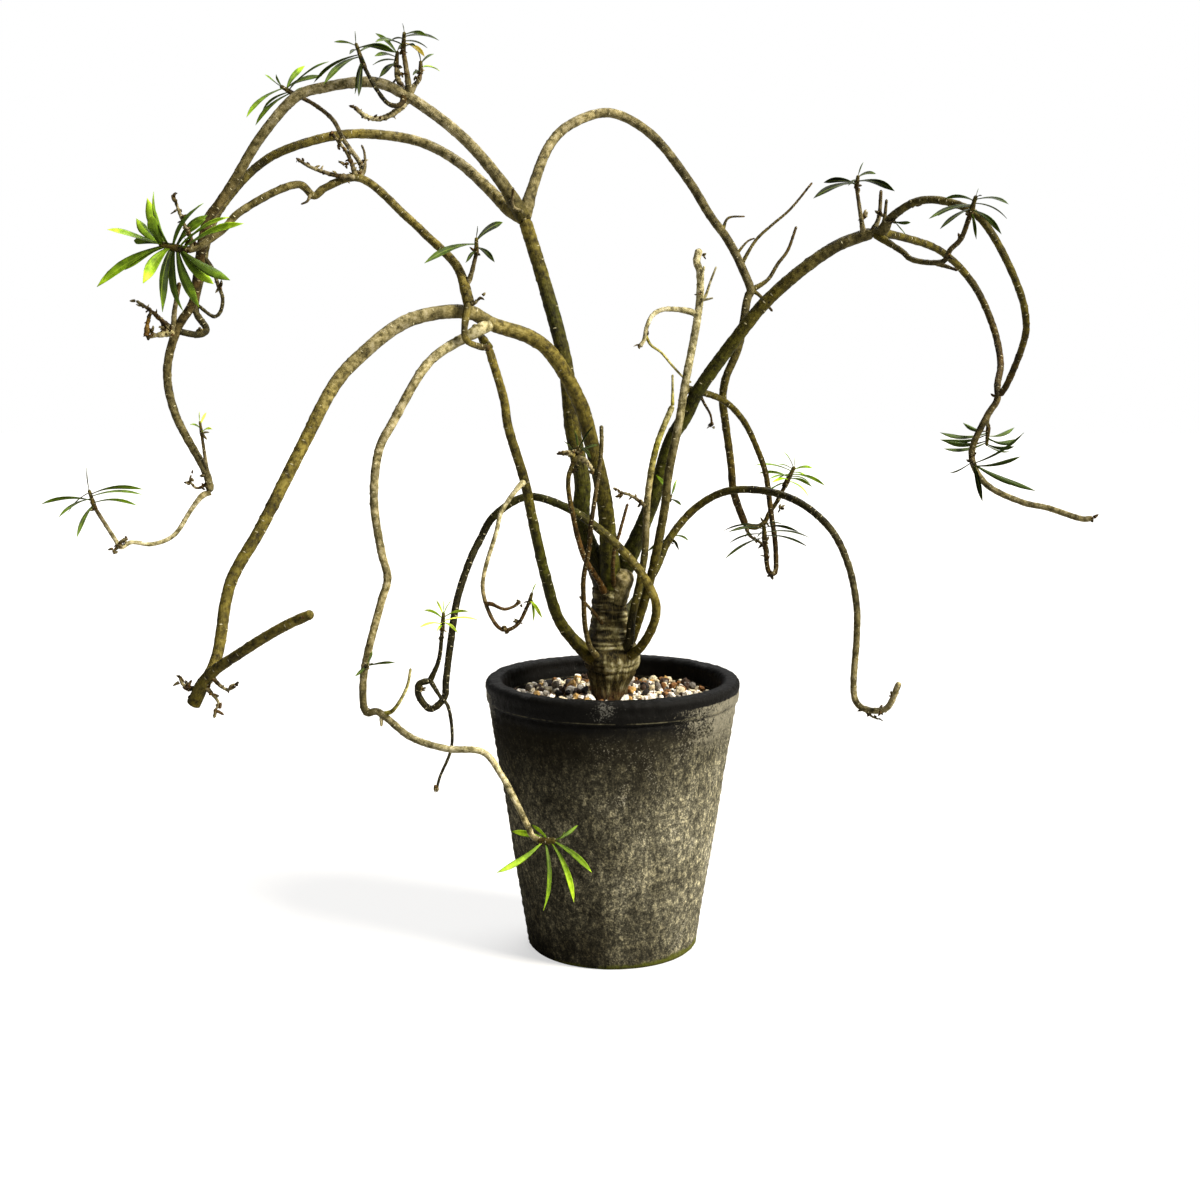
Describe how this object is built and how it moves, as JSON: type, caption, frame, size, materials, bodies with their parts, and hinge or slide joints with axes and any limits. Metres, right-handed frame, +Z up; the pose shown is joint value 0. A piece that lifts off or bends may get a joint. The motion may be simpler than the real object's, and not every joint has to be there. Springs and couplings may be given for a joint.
{
  "type": "potted sweet tabaiba",
  "caption": "Sweet tabaiba with a short swollen trunk, long arching bare stems and leaf tufts at their tips, in a tapered clay pot dressed with pumice.",
  "frame": {"origin": "on the pot's axis, on the flat underside that the pot stands on", "axes": "+Z up along the pot's axis, -Y towards the side that the plant is seen from, +X to the right seen from there"},
  "size_m": [0.7044, 0.3403, 0.638],
  "materials": {
    "pot_clay": "matte",
    "net_plastic": "matte",
    "drainage_pumice": "matte",
    "potting_mix": "matte",
    "dressing_pumice": "matte",
    "trunk_bark": "matte",
    "olive_bark": "matte",
    "ochre_bark": "matte",
    "pale_bark": "matte",
    "dark_bark": "matte",
    "leaf_lime": "satin",
    "leaf_green": "satin"
  },
  "bodies": {
    "root": {"pot": "pot_clay", "drain_net": "net_plastic", "drainage_stones": "drainage_pumice", "potting_mix": "potting_mix", "top_dressing": "dressing_pumice", "trunk": "trunk_bark", "tall_stem": "olive_bark", "right_main": "olive_bark", "left_leaner": "olive_bark", "yellow_green": "olive_bark", "thin_front": "olive_bark", "thin_left": "olive_bark", "upper_left": "olive_bark", "lower_left": "olive_bark", "upper_leaner": "olive_bark", "right_front": "olive_bark", "right_back": "olive_bark", "right_low": "olive_bark", "right_hook": "olive_bark", "ochre_arch": "ochre_bark", "pale_hanger": "pale_bark", "pale_curl": "pale_bark", "straight_pale": "pale_bark", "left_link": "pale_bark", "front_arch": "dark_bark", "right_arch": "dark_bark", "back_arch": "dark_bark", "low_front": "leaf_lime", "left_head": "leaf_lime", "front_tuft": "leaf_lime", "curl_leaves": "leaf_lime", "left_tip": "leaf_green", "top_tuft_a": "leaf_green", "top_tuft_b": "leaf_green", "top_tuft_c": "leaf_green", "top_tuft_d": "leaf_green", "upper_tuft": "leaf_green", "leaner_tuft": "leaf_green", "knob_tuft": "leaf_green", "knee_leaves": "leaf_green", "centre_tuft": "leaf_green", "right_tuft": "leaf_green", "hook_tuft": "leaf_green", "spur_tuft": "leaf_green", "low_tuft": "leaf_green", "node_leaves": "leaf_green", "drop_tuft_upper": "leaf_green", "drop_tuft_lower": "leaf_green", "hidden_leaves": "leaf_green", "hidden_leaves_low": "leaf_green"}
  },
  "joints": []
}
